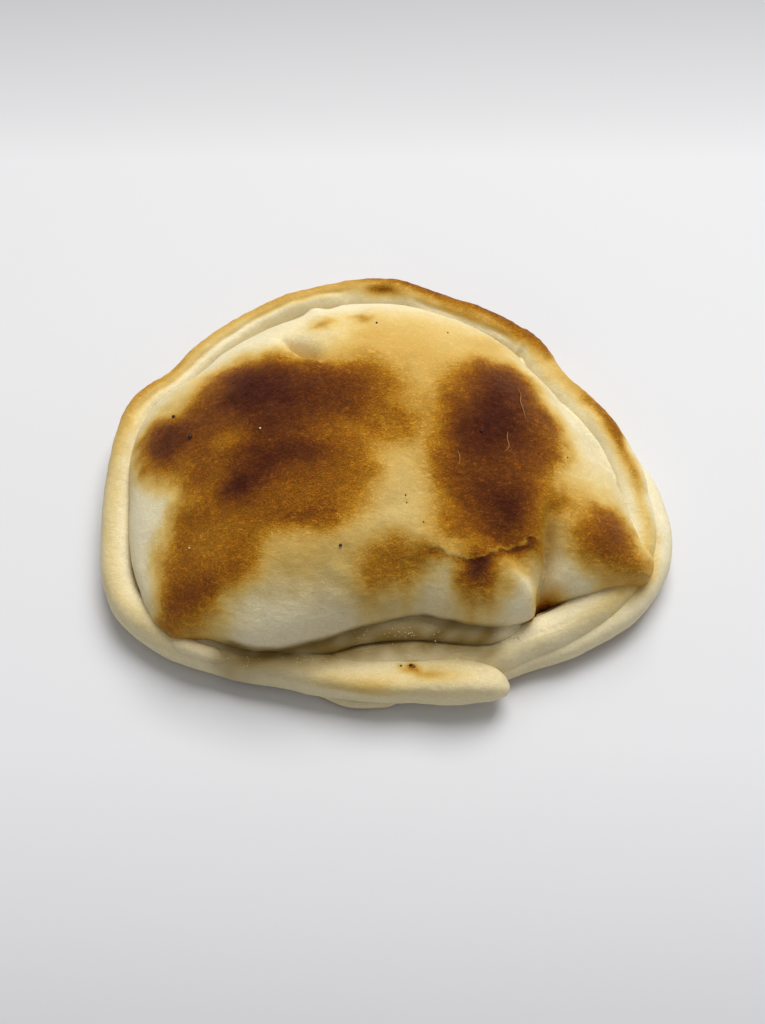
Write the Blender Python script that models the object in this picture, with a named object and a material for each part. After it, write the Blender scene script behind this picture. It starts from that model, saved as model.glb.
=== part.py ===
"""Oven-baked empanada: a puffed dough dome inside a hand-rolled border, as one closed solid.

Run with: blender --background --python part.py
+Z is up, and the origin is under the middle of the empanada, on the surface that it rests on.
X runs along its length, and -Y is the near side, where the ends of its border overlap.
"""

import bmesh
import bpy
import numpy as np

# Driving dimensions of the whole empanada, in metres
LENGTH = 0.158
DEPTH = 0.1315
HEIGHT = 0.040

# How finely every piece is divided: 1 is the finished part, and less is a quick draft
DETAIL = 1.0

# The shapes below are drawn in millimetres, and fitted to the driving dimensions at the end.
# A station is a place and the value there. Places round the empanada are angles in degrees,
# from +X towards +Y, and the values between the stations follow a smooth curve.

# Distance of the outer edge from the middle
OUTLINE = [
    (0, 77.5), (12, 71), (26, 66), (36, 63.5), (48, 66), (70, 65.5), (90, 68.5), (120, 71), (146, 73),
    (161, 78), (180, 78), (203, 81), (218, 75), (232, 67), (250, 61), (275, 59), (290, 60.5), (305, 65.5),
    (320, 71), (334, 78), (345, 81),
]

# The dome: how far its widest line stays inside the outer edge, and how high that line lies
DOME_GAP = [
    (0, 12), (12, 11), (22, 10), (34, 8), (46, 10), (67, 8.6), (90, 9.7), (115, 10.3), (135, 9), (156, 7.6),
    (168, 6), (190, 8), (203, 8.4), (214, 4), (224, 6.5), (234, 8.5), (250, 12.4), (270, 16.4), (284, 17),
    (299, 12.5), (311, 13.2), (318, 16), (325, 12), (333, 7), (341, 5.6), (352, 12),
]
DOME_WIDEST = [(0, 12), (90, 12), (180, 11), (205, 12), (225, 14), (250, 16), (290, 16.5), (320, 15), (338, 14)]
# How fast the dome turns in under that line: more is faster
DOME_TUCK = [(0, 0.15), (210, 0.15), (235, 0.5), (300, 0.5), (315, 0.3), (335, 0.15)]
DOME_SHOULDER = 0.82
DOME_FULLNESS = 0.86
DOME_UNDERSIDE = 3.0
CORNER_ROUNDING = 32.0

# The top of the dome: its height in the middle, and its fall 70 mm along X and 60 mm along Y from there
CROWN = 39.5
CROWN_FALL_X = 9.0
CROWN_FALL_Y = 4.0
# Soft humps in it, or hollows where the rise is below zero: middle, reach and rise
HUMPS = [
    ((-30, 14), 26, 1.6), ((28, 13), 20, 1.8), ((-1, -26), 9, 1.2), ((25, -32), 10, 3.0), ((8, -36), 6, -1.6),
    ((2, 5), 10, -1.0), ((-58, -26), 12, -1.5), ((58, -25), 9, 1.4), ((-16, 46), 5, 0.9), ((-5, 48), 5, 0.9),
]
# Creases in it, each a line that deepens from its start to its end: its points, its depth, and how
# wide it is on the left and on the right of that line, looking along it
CREASES = [
    ([(43.5, -12), (42.8, -26), (40.5, -40)], 11.0, 8.0, 5.0),
    ([(-31, 42), (-20.4, 27.3)], 2.4, 3.5, 4.5),
]

# The border, a roll all the way round: how far it stands inside the outer edge, half its width,
# half its height, how high its middle lies, and how far its top leans out in degrees
BORDER_INSET = [(0, 4), (8, 1.6), (16, 0), (270, 0), (290, 0), (300, 2), (312, 3.2), (325, 3.6), (345, 4.4)]
BORDER_HALF_WIDTH = [(0, 5.2), (60, 4.6), (90, 4.3), (160, 4.4), (200, 4.6), (250, 5), (300, 4.6), (325, 5.2)]
BORDER_HALF_HEIGHT = [(0, 7.4), (48, 8.6), (90, 8.2), (160, 7.4), (200, 6.4), (265, 6), (295, 5.4), (315, 6), (340, 7.4)]
BORDER_MIDDLE = [(0, 8.4), (48, 9), (90, 8.8), (160, 7.8), (200, 6.8), (265, 6.4), (295, 6.2), (315, 8.4), (340, 8.8)]
BORDER_LEAN = [(0, 0), (48, 12), (90, 14), (130, 12), (180, 0), (250, -12), (300, -10), (330, -6)]
# Uneven hand rolling: waves round the border, rise in mm and place of the first crest
BORDER_WAVES = [(5, 0.35, 20), (9, 0.3, 50), (14, 0.25, 12)]

# How square the sections of all rolls are: 1 is an ellipse, and less is squarer
ROLL_SQUARENESS = 0.85

# The lower layer of dough, which shows outside the border along the +X side
FOOT_ANGLES = (-82, 16)
FOOT_HALF_WIDTH = [(0, 3), (0.2, 5), (0.8, 5), (1, 3)]
FOOT_HALF_HEIGHT = [(0, 2.6), (0.2, 3.8), (0.5, 5.2), (0.8, 6), (1, 4)]
FOOT_MIDDLE = [(0, 3.2), (0.2, 4.2), (0.5, 5.6), (0.8, 6.6), (1, 7)]

# The other rolls lie on open paths: points x, y, z. Their sections are stations along the path,
# each with half the width, half the height and the lean in degrees.
ROLLS = {
    # The end of the border, a tongue pressed over its beginning
    "tongue": (
        [(-30, -49.5, 6.5), (-18, -52.5, 7.5), (-4, -55, 8.5), (9, -56.2, 9), (20, -56.2, 9.3), (33.5, -57.6, 8.8)],
        [(0, 3, 3, -12), (0.2, 4.5, 4.6, -14), (0.45, 6.2, 5.2, -16), (0.7, 6.2, 4.8, -18), (1, 4.2, 3.8, -16)],
    ),
    # A scrap of the lower layer that sticks out under the tongue
    "scrap": (
        [(-19, -53, 2.2), (-7, -57.2, 2.2), (4, -57.6, 2.2)],
        [(0, 1.6, 1.6, 0), (0.5, 2.8, 2.2, 0), (1, 1.6, 1.6, 0)],
    ),
    # Two soft layers pressed between the border and the dome on the near side
    "lower_lip": (
        [(-45, -46.5, 9.5), (-36, -47.5, 9.5), (-20, -48.5, 9.5), (-5, -48, 9.5), (24, -48, 9.5), (34, -47, 9.8)],
        [(0, 2, 1.5, 0), (0.3, 4.5, 2.2, 0), (0.7, 5, 2.4, 0), (1, 2, 1.5, 0)],
    ),
    "upper_lip": (
        [(-48, -42, 10.5), (-24, -44.4, 11), (-15, -44.3, 11.2), (-5, -41.9, 11.6), (6, -40.9, 11.8),
         (18, -41.9, 11.8), (28, -41, 11.8), (36, -37.6, 11)],
        [(0, 2.5, 1.6, 0), (0.2, 4.8, 3, 0), (0.5, 5.2, 3.2, 0), (0.8, 5, 3.2, 0), (1, 2.5, 1.6, 0)],
    ),
    # A small fold where the dome's corner meets the border
    "corner_fold": (
        [(-58, -40.5, 11.5), (-50, -45, 12.2), (-43, -47, 11.6), (-34, -47.6, 10.4)],
        [(0, 2, 2, 0), (0.3, 2.6, 2.6, 8), (0.7, 2.2, 2, 8), (1, 1.4, 1.2, 0)],
    ),
}

# The flat slab under everything: rings at these insets from the outer edge and heights
BASE_RINGS = [(20, 9.5), (9, 9.2), (6.5, 7), (5.2, 3), (5.4, 0.9), (6.4, 0), (20, 0)]

DOUGH_COLOUR = (0.71, 0.52, 0.26, 1.0)
DOUGH_ROUGHNESS = 0.55


def smooth_curve(place, at, value):
    """Smooth curve through the (at, value) points that never goes beyond them: its slope at a point
    is the harmonic mean of the slopes on both sides, and level at a high or a low point."""
    rise = np.diff(value) / np.diff(at)
    before = np.concatenate([rise[:1], rise])
    after = np.concatenate([rise, rise[-1:]])
    same_way = before * after > 0
    slope = np.where(same_way, 2 * before * after / np.where(same_way, before + after, 1), 0)
    i = np.clip(np.searchsorted(at, place, side="right") - 1, 0, len(at) - 2)
    width = at[i + 1] - at[i]
    s = np.clip((place - at[i]) / width, 0, 1)
    from_start = (1 + 2 * s) * (1 - s) ** 2 * value[i] + s * (1 - s) ** 2 * width * slope[i]
    from_end = s * s * (3 - 2 * s) * value[i + 1] - s * s * (1 - s) * width * slope[i + 1]
    return from_start + from_end


def around(angle, stations):
    """The stations' value at each angle, smooth all the way round."""
    at, value = np.array(stations, float).T
    at = np.concatenate([at[-2:] - 360, at, at[:2] + 360])
    value = np.concatenate([value[-2:], value, value[:2]])
    return smooth_curve(np.mod(angle, 360), at, value)


def along(share, stations):
    """The stations' value at each share, from 0 to 1, of an open path."""
    at, value = np.array(stations, float).T
    return smooth_curve(share, at, value)


def count(number):
    """Number of divisions at the present detail."""
    return int(round(number * DETAIL))


def turn_angles(number, finest=325, gain=0.45):
    """Angles all the way round, closer together near the finest one."""
    turn = np.arange(number) / number
    return 360 * turn - 360 * gain / (2 * np.pi) * np.sin(2 * np.pi * (turn - finest / 360))


def outline_path(angle, inset):
    """Points in the plan that lie inset inside the outer edge, and the outward directions there."""
    def edge(a):
        direction = np.stack([np.cos(np.radians(a)), np.sin(np.radians(a))], 1)
        return around(a, OUTLINE)[:, None] * direction

    tangent = edge(angle + 1.5) - edge(angle - 1.5)
    outward = np.stack([tangent[:, 1], -tangent[:, 0]], 1)
    outward /= np.linalg.norm(outward, axis=1)[:, None]
    return edge(angle) - outward * np.reshape(inset, (-1, 1)), outward


def near_line(x, y, points):
    """Signed distance of each (x, y) from the line through the points, above zero on its right, and
    the share of the line at the nearest place on it."""
    points = np.array(points, float)
    lengths = np.linalg.norm(np.diff(points, axis=0), axis=1)
    distance = np.full(np.shape(x), 1e9)
    share = np.zeros(np.shape(x))
    done = 0.0
    for start, step, length in zip(points, np.diff(points, axis=0), lengths):
        t = np.clip(((x - start[0]) * step[0] + (y - start[1]) * step[1]) / length**2, 0, 1)
        away_x = x - start[0] - t * step[0]
        away_y = y - start[1] - t * step[1]
        side = np.where(away_x * step[1] - away_y * step[0] > 0, 1, -1)
        here = side * np.hypot(away_x, away_y)
        nearer = np.abs(here) < np.abs(distance)
        distance = np.where(nearer, here, distance)
        share = np.where(nearer, (done + t * length) / lengths.sum(), share)
        done += length
    return distance, share


def crown(x, y):
    """Height that the top of the dome would have far from its edge."""
    height = CROWN - CROWN_FALL_X * (x / 70) ** 2 - CROWN_FALL_Y * (y / 60) ** 2
    for (at_x, at_y), reach, rise in HUMPS:
        height = height + rise * np.exp(-((x - at_x) ** 2 + (y - at_y) ** 2) / reach**2)
    for points, depth, left, right in CREASES:
        distance, share = near_line(x, y, points)
        width = np.where(distance > 0, right, left)
        height = height - depth * share**0.7 * np.exp(-((distance / width) ** 2))
    return height


def softened(angle, stations, reach, steps=8):
    """The stations' value averaged over the neighbouring angles, which rounds off its corners."""
    offsets = np.linspace(-2 * reach, 2 * reach, 2 * steps + 1)
    weights = np.exp(-((offsets / reach) ** 2))
    return sum(w * around(angle + o, stations) for o, w in zip(offsets, weights)) / weights.sum()


def dome(turns, rows):
    """Closed pillow, a line at each angle from the top pole to the bottom pole. Above its widest
    line it is a superellipse up to the crown, and below it turns in towards the underside."""
    angle = turn_angles(turns)
    t = np.linspace(0, np.pi, rows)
    above = t < np.pi / 2
    edge = (around(angle, OUTLINE) - around(angle, DOME_GAP))[:, None]
    round_edge = softened(angle, OUTLINE, CORNER_ROUNDING) - softened(angle, DOME_GAP, CORNER_ROUNDING)
    widest = around(angle, DOME_WIDEST)[:, None]
    share = np.sin(t) ** np.where(above, DOME_SHOULDER, around(angle, DOME_TUCK)[:, None])
    corner = np.where(above, share**2, 1)
    radius = share * (round_edge[:, None] + (edge - round_edge[:, None]) * corner)
    radius[:, [0, -1]] = 0
    x = radius * np.cos(np.radians(angle))[:, None]
    y = radius * np.sin(np.radians(angle))[:, None]
    rise = np.abs(np.cos(t)) ** DOME_FULLNESS
    z = widest + np.where(above, crown(x, y) - widest, DOME_UNDERSIDE - widest) * rise
    return np.stack([x, y, z], 2)


def base(turns):
    """Flat-bottomed slab of dough, from the middle of its top to the middle of its bottom."""
    angle = turn_angles(turns)
    rings = []
    for inset, z in BASE_RINGS:
        place, _ = outline_path(angle, inset)
        rings.append(np.column_stack([place, np.full(turns, z)]))
    top_middle = np.tile([0, 0, BASE_RINGS[0][1]], (turns, 1))
    bottom_middle = np.zeros((turns, 3))
    return np.stack([top_middle, *rings, bottom_middle], 1)


def roll(place, outward, middle, half_width, half_height, lean, sides):
    """Oval sections along a path in the plan, each tilted so that its top leans outward."""
    phi = np.linspace(0, 2 * np.pi, sides, endpoint=False)
    wide = half_width[:, None] * np.sign(np.cos(phi)) * np.abs(np.cos(phi)) ** ROLL_SQUARENESS
    high = half_height[:, None] * np.sign(np.sin(phi)) * np.abs(np.sin(phi)) ** ROLL_SQUARENESS
    tilt = np.radians(lean)[:, None]
    out = wide * np.cos(tilt) + high * np.sin(tilt)
    up = high * np.cos(tilt) - wide * np.sin(tilt)
    plan = place[:, None] + outward[:, None] * out[:, :, None]
    return np.concatenate([plan, (middle[:, None] + up)[:, :, None]], 2)


def border(turns, sides):
    """The roll all the way round, a little uneven."""
    angle = turn_angles(turns)
    uneven = sum(rise * np.cos(np.radians(waves * (angle - at))) for waves, rise, at in BORDER_WAVES)
    half_width = around(angle, BORDER_HALF_WIDTH)
    place, outward = outline_path(angle, around(angle, BORDER_INSET) + half_width)
    return roll(
        place, outward, around(angle, BORDER_MIDDLE) + uneven / 2, half_width,
        around(angle, BORDER_HALF_HEIGHT) + uneven / 2, around(angle, BORDER_LEAN), sides,
    )


def end_closing(share):
    """Factor on a roll's section that closes its two ends with a blunt round."""
    return np.sqrt(np.clip(1 - (2 * share - 1) ** 8, 0, 1))


def foot(steps, sides):
    """The lower layer outside the border."""
    share = (1 - np.cos(np.linspace(0, np.pi, steps))) / 2
    start, end = FOOT_ANGLES
    half_width = along(share, FOOT_HALF_WIDTH)
    place, outward = outline_path(start + (end - start) * share, half_width)
    close = end_closing(share)
    return roll(place, outward, along(share, FOOT_MIDDLE), half_width * close,
                along(share, FOOT_HALF_HEIGHT) * close, np.zeros(steps), sides)


def open_roll(points, sections, steps, sides):
    """A roll on a smooth path through the points, with closed ends."""
    points = np.array(points, float)
    length = np.concatenate([[0], np.cumsum(np.linalg.norm(np.diff(points, axis=0), axis=1))])
    share = (1 - np.cos(np.linspace(0, np.pi, steps))) / 2
    path = np.stack([smooth_curve(share * length[-1], length, points[:, k]) for k in range(3)], 1)
    tangent = np.gradient(path[:, :2], axis=0)
    outward = np.stack([tangent[:, 1], -tangent[:, 0]], 1)
    outward /= np.linalg.norm(outward, axis=1)[:, None]
    at, half_width, half_height, lean = np.array(sections, float).T
    close = end_closing(share)
    return roll(path[:, :2], outward, path[:, 2], smooth_curve(share, at, half_width) * close,
                smooth_curve(share, at, half_height) * close, smooth_curve(share, at, lean), sides)


def grid_quads(rows, columns, closes_round, closes_across):
    """Corner numbers of the quads of a grid, which may close along its rows and its columns."""
    index = np.arange(rows * columns).reshape(rows, columns)
    if closes_round:
        index = np.concatenate([index, index[:1]], 0)
    if closes_across:
        index = np.concatenate([index, index[:, :1]], 1)
    corners = [index[:-1, :-1], index[:-1, 1:], index[1:, 1:], index[1:, :-1]]
    return np.stack(corners, 2).reshape(-1, 4)


def add_object(name, points, closes_round, closes_across):
    """Closed mesh object from a grid of points. Rows or columns that shrink to a point are merged."""
    rows, columns, _ = points.shape
    mesh = bpy.data.meshes.new(name)
    quads = grid_quads(rows, columns, closes_round, closes_across)
    mesh.from_pydata(points.reshape(-1, 3).tolist(), [], quads.tolist())
    bm = bmesh.new()
    bm.from_mesh(mesh)
    bmesh.ops.remove_doubles(bm, verts=bm.verts, dist=1e-7)
    bmesh.ops.dissolve_degenerate(bm, edges=bm.edges, dist=1e-8)
    bmesh.ops.recalc_face_normals(bm, faces=bm.faces)
    bm.to_mesh(mesh)
    bm.free()
    obj = bpy.data.objects.new(name, mesh)
    bpy.context.scene.collection.objects.link(obj)
    return obj


def dough_material():
    """Baked dough, in one even colour."""
    material = bpy.data.materials.new("baked_dough")
    material.use_nodes = True
    shader = material.node_tree.nodes["Principled BSDF"]
    shader.inputs["Base Color"].default_value = DOUGH_COLOUR
    shader.inputs["Roughness"].default_value = DOUGH_ROUGHNESS
    shader.inputs["Metallic"].default_value = 0.0
    return material


def fitted(grids):
    """The grids in metres, scaled to the driving dimensions and centred over the origin."""
    everything = np.concatenate([points.reshape(-1, 3) for points, _, _ in grids.values()])
    low = everything.min(0)
    high = everything.max(0)
    scale = np.array([LENGTH, DEPTH, HEIGHT]) / (high - low)
    origin = np.array([(low[0] + high[0]) / 2, (low[1] + high[1]) / 2, low[2]])
    return {name: ((points - origin) * scale, *closes) for name, (points, *closes) in grids.items()}


def union(body, others):
    """The body joined with the others, which stay in the file as hidden helpers."""
    for other in others:
        other.hide_render = True
        other.display_type = "WIRE"
        join = body.modifiers.new("join_" + other.name, "BOOLEAN")
        join.operation = "UNION"
        join.solver = "EXACT"
        join.object = other


def main():
    for obj in list(bpy.data.objects):
        bpy.data.objects.remove(obj)
    grids = {
        "empanada": (dome(count(104), count(24)), True, False),
        "base": (base(count(72)), True, False),
        "border": (border(count(120), count(14)), True, True),
        "foot": (foot(count(32), count(12)), False, True),
    }
    for name, (points, sections) in ROLLS.items():
        grids[name] = (open_roll(points, sections, count(24), count(10)), False, True)
    made = {name: add_object(name, *grid) for name, grid in fitted(grids).items()}
    empanada = made.pop("empanada")
    empanada.data.materials.append(dough_material())
    union(empanada, made.values())
    return empanada


if __name__ == "__main__":
    main()
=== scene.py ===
# %% [markdown]
# # An oven-baked empanada
#
# An empanada is a disc of wheat dough folded over a filling. Its rim is rolled up by hand into a
# border, and in the oven the dome over the filling puffs up and browns in patches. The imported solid
# has the right size and main forms. This lesson grows a finer skin over them, and mostly shows what
# baking does to dough: relief, browning and gloss.

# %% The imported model
import bmesh
import bpy
import numpy as np
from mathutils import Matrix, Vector


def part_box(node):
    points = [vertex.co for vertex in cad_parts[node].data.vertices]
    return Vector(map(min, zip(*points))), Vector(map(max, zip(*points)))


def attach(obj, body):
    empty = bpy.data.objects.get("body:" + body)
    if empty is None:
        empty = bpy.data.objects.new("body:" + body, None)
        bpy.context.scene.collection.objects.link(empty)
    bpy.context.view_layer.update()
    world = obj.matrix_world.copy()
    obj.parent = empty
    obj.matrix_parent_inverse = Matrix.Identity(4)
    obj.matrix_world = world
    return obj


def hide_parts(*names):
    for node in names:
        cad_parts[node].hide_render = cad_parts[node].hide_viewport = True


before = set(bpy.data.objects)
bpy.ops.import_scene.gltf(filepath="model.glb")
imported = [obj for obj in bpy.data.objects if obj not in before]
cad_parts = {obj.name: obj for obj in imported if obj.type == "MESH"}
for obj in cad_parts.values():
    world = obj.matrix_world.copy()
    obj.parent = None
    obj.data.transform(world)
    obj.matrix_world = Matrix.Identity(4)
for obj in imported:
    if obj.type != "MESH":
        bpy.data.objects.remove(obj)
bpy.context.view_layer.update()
NODE_LOW, NODE_HIGH = (np.array(corner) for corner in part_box("empanada"))
print("packed box in mm:", (1000 * (NODE_HIGH - NODE_LOW)).round(1))

# %% [markdown]
# ## Smooth curves from a few stations
#
# A hand-made border has no formula, but a few stations describe it well: a place and the value
# there. The smooth curve between them must never swing beyond them, because an overshoot would show
# as a bulge that nobody rolled. The harmonic mean of the two neighbouring slopes gives just that.
# All drawing is in millimetres round the empanada's middle.

# %% Curves through stations
def smooth_curve(place, at, value):
    """Cubic curve through (at, value) points: the slope at a point is the harmonic mean of the
    slopes on both sides, and level at a high or a low point."""
    rise = np.diff(value) / np.diff(at)
    before = np.concatenate([rise[:1], rise])
    after = np.concatenate([rise, rise[-1:]])
    same_way = before * after > 0
    slope = np.where(same_way, 2 * before * after / np.where(same_way, before + after, 1), 0)
    i = np.clip(np.searchsorted(at, place, side="right") - 1, 0, len(at) - 2)
    width = at[i + 1] - at[i]
    s = np.clip((place - at[i]) / width, 0, 1)
    from_start = (1 + 2 * s) * (1 - s) ** 2 * value[i] + s * (1 - s) ** 2 * width * slope[i]
    from_end = s * s * (3 - 2 * s) * value[i + 1] - s * s * (1 - s) * width * slope[i + 1]
    return from_start + from_end


def around(angle, stations):
    """The stations' value at each angle in degrees, smooth all the way round."""
    at, value = np.array(stations, float).T
    at = np.concatenate([at[-2:] - 360, at, at[:2] + 360])
    value = np.concatenate([value[-2:], value, value[:2]])
    return smooth_curve(np.mod(angle, 360), at, value)


def along(share, stations):
    """The stations' value at each share, from 0 to 1, of an open path."""
    return smooth_curve(share, *np.array(stations, float).T)


def ease(value, low, high):
    """0 below low, 1 above high, with a smooth step between."""
    s = np.clip((value - low) / (high - low), 0, 1)
    return s * s * (3 - 2 * s)

# %% [markdown]
# ## The outline
#
# Seen from above, the edge is a half disc that slumped a little: fuller at the left, pinched in at
# the upper right, flat on the near side where the border's two ends overlap. Everything round the
# rim is placed by its angle and by how far it lies inside this edge.

# %% Outer edge and dome edge
# Stations of angle in degrees: the edge's distance from the middle, and how far the dome lies inside
OUTLINE = [
    (0, 77.5), (12, 71), (26, 66), (36, 63.5), (48, 66), (70, 65.5), (90, 68.5), (120, 70.2), (146, 72.2),
    (161, 78), (180, 78), (203, 81), (218, 75), (232, 67), (250, 61), (275, 59), (290, 60.5), (305, 64),
    (320, 71), (334, 78), (345, 81),
]
DOME_GAP = [
    (5, 13.6), (16, 11), (24, 9.8), (34, 8), (46, 10), (67, 8.6), (90, 9.7), (100, 9.4), (106, 10.2),
    (110.5, 8.4), (114, 9.8), (118, 10.4), (135, 9), (156, 7.6), (169, 6.4), (180, 7.6), (196, 9.2),
    (204, 9), (210, 6.6), (214, 4.6), (218, 3.6), (221, 5.4), (225, 7.2), (232, 7), (240, 8), (250, 12.2),
    (261, 16.6), (275, 18.9), (284, 19.4), (291, 17.3), (299, 14.4), (306, 12.8), (312, 12.8),
    (315.5, 13.8), (319, 15.8), (322.5, 15.8), (326, 14.6), (332, 10.8), (335.5, 6.8), (338.5, 3.4),
    (341.5, 4.4), (346, 9.6), (352, 12.2),
]


def outline_path(angle, inset):
    """Points in the plan that lie inset inside the outer edge, and the outward directions there.
    The outward direction is the edge's tangent turned by a right angle."""
    def edge(a):
        direction = np.stack([np.cos(np.radians(a)), np.sin(np.radians(a))], 1)
        return around(a, OUTLINE)[:, None] * direction

    tangent = edge(angle + 1.5) - edge(angle - 1.5)
    outward = np.stack([tangent[:, 1], -tangent[:, 0]], 1)
    outward /= np.linalg.norm(outward, axis=1)[:, None]
    return edge(angle) - outward * np.reshape(inset, (-1, 1)), outward


def turn_angles(number, finest=325, gain=0.45):
    """Angles all the way round, closer together near the finest one."""
    turn = np.arange(number) / number
    return 360 * turn - 360 * gain / (2 * np.pi) * np.sin(2 * np.pi * (turn - finest / 360))


print("edge at most", max(v for _, v in OUTLINE), "mm from the middle")

# %% [markdown]
# ## The top of the dome
#
# Steam lifts the dome into a broad, low crown, with soft humps over the filling and two creases
# where the dough folded. The crown is one height formula over the plan: a wide parabola, plus
# bell-shaped humps, minus a bell-shaped groove along each crease. A groove that is steeper on one
# side makes one lobe stand over the next.

# %% Crown, humps and creases
CROWN = 39.5
CROWN_FALL_X = 9.0
CROWN_FALL_Y = 4.0
HUMPS = [
    ((-30, 14), 26, 1.6), ((28, 13), 20, 1.8), ((-1, -26), 9, 1.2), ((25, -32), 10, 3.0),
    ((8, -36), 6, -2.4), ((2, 5), 10, -1.0), ((-58, -26), 12, -1.5), ((57, -24), 9, 2.2),
    ((-10, 51), 9, -2.4), ((-13.5, 49), 3.4, 3.0), ((-16.5, 44), 3.2, 1.2), ((-5, 48.5), 3.0, 1.2),
    ((-34, 36), 5, 0.9),
]
# Creases: points, depth, width on the left and on the right of the line
CREASES = [
    ([(44.4, -9), (42.6, -22), (41, -34), (40, -41)], 18.5, 3.8, 2.6),
    ([(-30.5, 40.4), (-21, 30.4)], 11.0, 2.7, 1.2),
]
# Share of its length where a crease has its full depth, and the power of its left side's slope
CREASE_FULL = 0.78
CREASE_POWER = 1.2
# The lobe beside the deep crease: where it is pushed over it most, how far, and how quickly that
# fades towards the line and away from it
LOBE_RIM = 4.2
OVERHANG = 2.2
OVERHANG_REACH = (3.5, 8.0)


def near_line(x, y, points):
    """Signed distance of each (x, y) from the line through the points, above zero on its right, and
    the share of the line at the nearest place on it."""
    points = np.array(points, float)
    lengths = np.linalg.norm(np.diff(points, axis=0), axis=1)
    distance = np.full(np.shape(x), 1e9)
    share = np.zeros(np.shape(x))
    done = 0.0
    for start, step, length in zip(points, np.diff(points, axis=0), lengths):
        t = np.clip(((x - start[0]) * step[0] + (y - start[1]) * step[1]) / length**2, 0, 1)
        away_x = x - start[0] - t * step[0]
        away_y = y - start[1] - t * step[1]
        side = np.where(away_x * step[1] - away_y * step[0] > 0, 1, -1)
        here = side * np.hypot(away_x, away_y)
        nearer = np.abs(here) < np.abs(distance)
        distance = np.where(nearer, here, distance)
        share = np.where(nearer, (done + t * length) / lengths.sum(), share)
        done += length
    return distance, share


def crown(x, y):
    """Height of the top far from the edge: a parabola each way, plus humps, minus creases."""
    height = CROWN - CROWN_FALL_X * (x / 70) ** 2 - CROWN_FALL_Y * (y / 60) ** 2
    for (at_x, at_y), reach, rise in HUMPS:
        height = height + rise * np.exp(-((x - at_x) ** 2 + (y - at_y) ** 2) / reach**2)
    for points, depth, left, right in CREASES:
        distance, share = near_line(x, y, points)
        away = np.where(distance > 0, (distance / right) ** 2, np.abs(distance / left) ** CREASE_POWER)
        height = height - depth * ease(share, 0, CREASE_FULL) * np.exp(-away)
    return height


print("crown in the middle:", round(crown(0.0, 0.0), 1), "mm, in the pinch:", round(crown(-21.0, 30.4), 1))

# %% [markdown]
# ## The dome as a pillow
#
# A line at each angle runs from the top pole, over the shoulder, round the widest line, and in
# underneath to the bottom pole. Above the widest line it is a superellipse, which is squarer than
# an ellipse, because puffed dough stands up steeply from the rim and then flattens. Beside the deep
# crease the lobe is also pushed sideways, so that it hangs over the crease.

# %% Dome surface
# Height of the widest line, and the power that tucks the underside in, by angle
DOME_WIDEST = [
    (0, 12), (90, 12), (180, 11), (205, 12), (225, 14), (250, 16), (290, 16.5), (314, 15.5), (318, 9),
    (321, 8), (326, 13.5), (339, 15.5), (350, 13),
]
DOME_TUCK = [(0, 0.15), (210, 0.15), (235, 0.5), (300, 0.5), (315, 0.3), (335, 0.15)]
DOME_SHOULDER = 0.82
DOME_FULLNESS = 0.86
DOME_UNDERSIDE = 3.0
CORNER_ROUNDING = 32.0


def softened(angle, stations, reach, steps=8):
    """The stations' value averaged over the neighbouring angles with a bell-shaped weight."""
    offsets = np.linspace(-2 * reach, 2 * reach, 2 * steps + 1)
    weights = np.exp(-((offsets / reach) ** 2))
    return sum(w * around(angle + o, stations) for o, w in zip(offsets, weights)) / weights.sum()


def dome_edge(angle):
    """Distance of the dome's widest line from the middle, and the same with rounded corners."""
    edge = around(angle, OUTLINE) - around(angle, DOME_GAP)
    return edge, softened(angle, OUTLINE, CORNER_ROUNDING) - softened(angle, DOME_GAP, CORNER_ROUNDING)


def dome(turns, rows_above, rows_below):
    """Closed pillow: distance out is a power of sin(t), height above the widest line is a power of
    cos(t) times the crown's height there, with t from the top pole, 0, to the bottom pole, pi."""
    angle = turn_angles(turns)
    down = np.arcsin(np.sin(np.linspace(0, np.pi / 2, rows_above)) ** (1 / DOME_SHOULDER))
    t = np.concatenate([down, np.linspace(np.pi / 2, np.pi, rows_below)[1:]])
    above = t < np.pi / 2
    edge, round_edge = (part[:, None] for part in dome_edge(angle))
    widest = around(angle, DOME_WIDEST)[:, None]
    share = np.sin(t) ** np.where(above, DOME_SHOULDER, around(angle, DOME_TUCK)[:, None])
    corner = np.where(above, share**2, 1)
    radius = share * (round_edge + (edge - round_edge) * corner)
    radius[:, [0, -1]] = 0
    x = radius * np.cos(np.radians(angle))[:, None]
    y = radius * np.sin(np.radians(angle))[:, None]
    rise = np.abs(np.cos(t)) ** DOME_FULLNESS
    z = widest + np.where(above, crown(x, y) - widest, DOME_UNDERSIDE - widest) * rise
    return np.stack([x, y, z], 2)


def overhung(points):
    """The points beside the deep crease pushed sideways over it, by a bell of their distance."""
    distance, share = near_line(points[:, 0], points[:, 1], CREASES[0][0])
    near, far = OVERHANG_REACH
    side = (distance - LOBE_RIM) / np.where(distance > LOBE_RIM, far, near)
    push = OVERHANG * ease(share, 0.1, 0.6) * np.exp(-(side**2)) * ease(points[:, 2], 12, 19)
    return points + np.column_stack([push, 0 * push, 0 * push])


print("dome's widest line from", round(dome_edge(np.arange(360))[0].min(), 1), "mm out")

# %% [markdown]
# ## Rolls and layers
#
# The border is one long roll of dough: an oval section carried round the outline, leaning out on
# the far side where it was folded up. Its ends overlap on the near side, where the upper one lies
# as a tongue over the beginning. Softer layers are pressed into the valley between roll and dome,
# and a band on the right leans inward. Each is the same kind of surface: a section on a path.

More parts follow.
